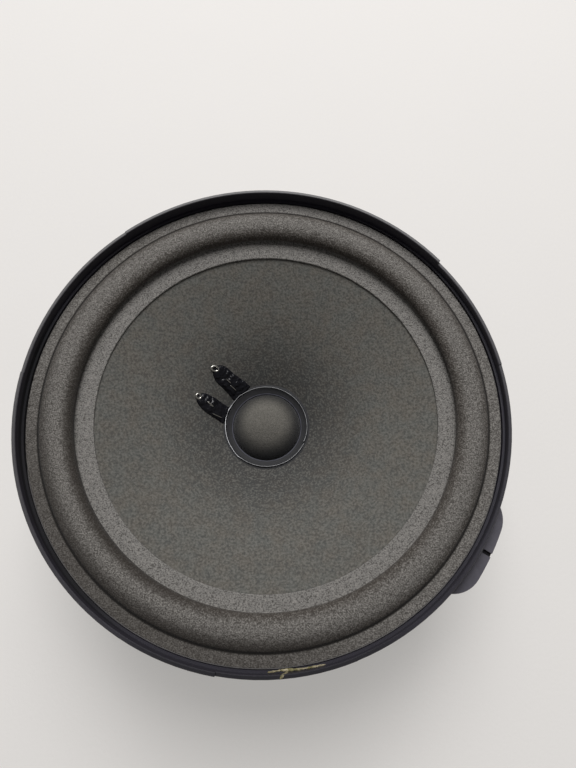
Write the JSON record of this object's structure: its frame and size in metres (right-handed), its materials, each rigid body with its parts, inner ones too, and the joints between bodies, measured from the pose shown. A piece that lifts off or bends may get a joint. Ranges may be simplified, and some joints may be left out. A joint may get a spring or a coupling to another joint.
{
  "type": "car door loudspeaker",
  "caption": "Round 165 mm door loudspeaker: moulded basket with a stepped lip and grip ear, paper cone on a foam roll surround, felt dust cap, ferrite motor, rear socket.",
  "frame": {"origin": "centre of the motor's flat back face, on the speaker's axis", "axes": "+Z along the axis out of the cone's mouth, +X to the right and +Y to the top of the speaker seen from the front, as in the picture"},
  "size_m": [0.165, 0.165, 0.0695],
  "materials": {
    "basket_plastic": "black glass-filled moulding, fine satin grain, scuffed lip",
    "gasket_foam": "black closed-cell foam",
    "edge_adhesive": "dull grey bead",
    "surround_foam": "warm grey open-cell foam with pale specks",
    "cone_paper": "dark grey pressed paper with fine fibres",
    "black_adhesive": "glossy black cement",
    "cap_felt": "taupe-grey woven felt",
    "former_foil": "bright aluminium foil",
    "enamelled_copper": "enamelled copper wire",
    "spider_cloth": "resin-stiffened yellow-brown cotton",
    "plated_steel": "zinc-plated mild steel",
    "rivet_steel": "bright plated rivets",
    "ferrite": "dark grey sintered ferrite",
    "housing_plastic": "black moulding",
    "tinned_brass": "tinned brass",
    "tinsel_braid": "braided copper tinsel"
  },
  "bodies": {
    "basket": {"basket": "basket_plastic", "rear_gasket": "gasket_foam", "edge_glue": "edge_adhesive", "top_plate": "plated_steel", "magnet": "ferrite", "back_plate": "plated_steel", "pole_piece": "plated_steel", "plate_rivets": "rivet_steel", "terminal_housing": "housing_plastic", "terminal_blade_1": "tinned_brass", "terminal_blade_2": "tinned_brass"},
    "cone_assembly": {"cone": "cone_paper", "surround": "surround_foam", "spider": "spider_cloth", "neck_glue": "black_adhesive", "dust_cap": "cap_felt", "cap_glue": "black_adhesive", "former": "former_foil", "voice_coil": "enamelled_copper", "lead_eyelet_1": "tinned_brass", "lead_eyelet_2": "tinned_brass", "coil_lead_1": "enamelled_copper", "coil_lead_2": "enamelled_copper", "lead_cement_1": "black_adhesive", "lead_cement_2": "black_adhesive", "tinsel_lead_1": "tinsel_braid", "tinsel_lead_2": "tinsel_braid"}
  },
  "joints": [
    {"name": "cone_travel", "type": "slide", "parent": "basket", "child": "cone_assembly", "axis": [0, 0, 1], "range_m": [-0.004, 0.004], "stiffness_N_per_m": 2100, "deforming": ["surround", "spider", "tinsel_lead_1", "tinsel_lead_2"]}
  ]
}
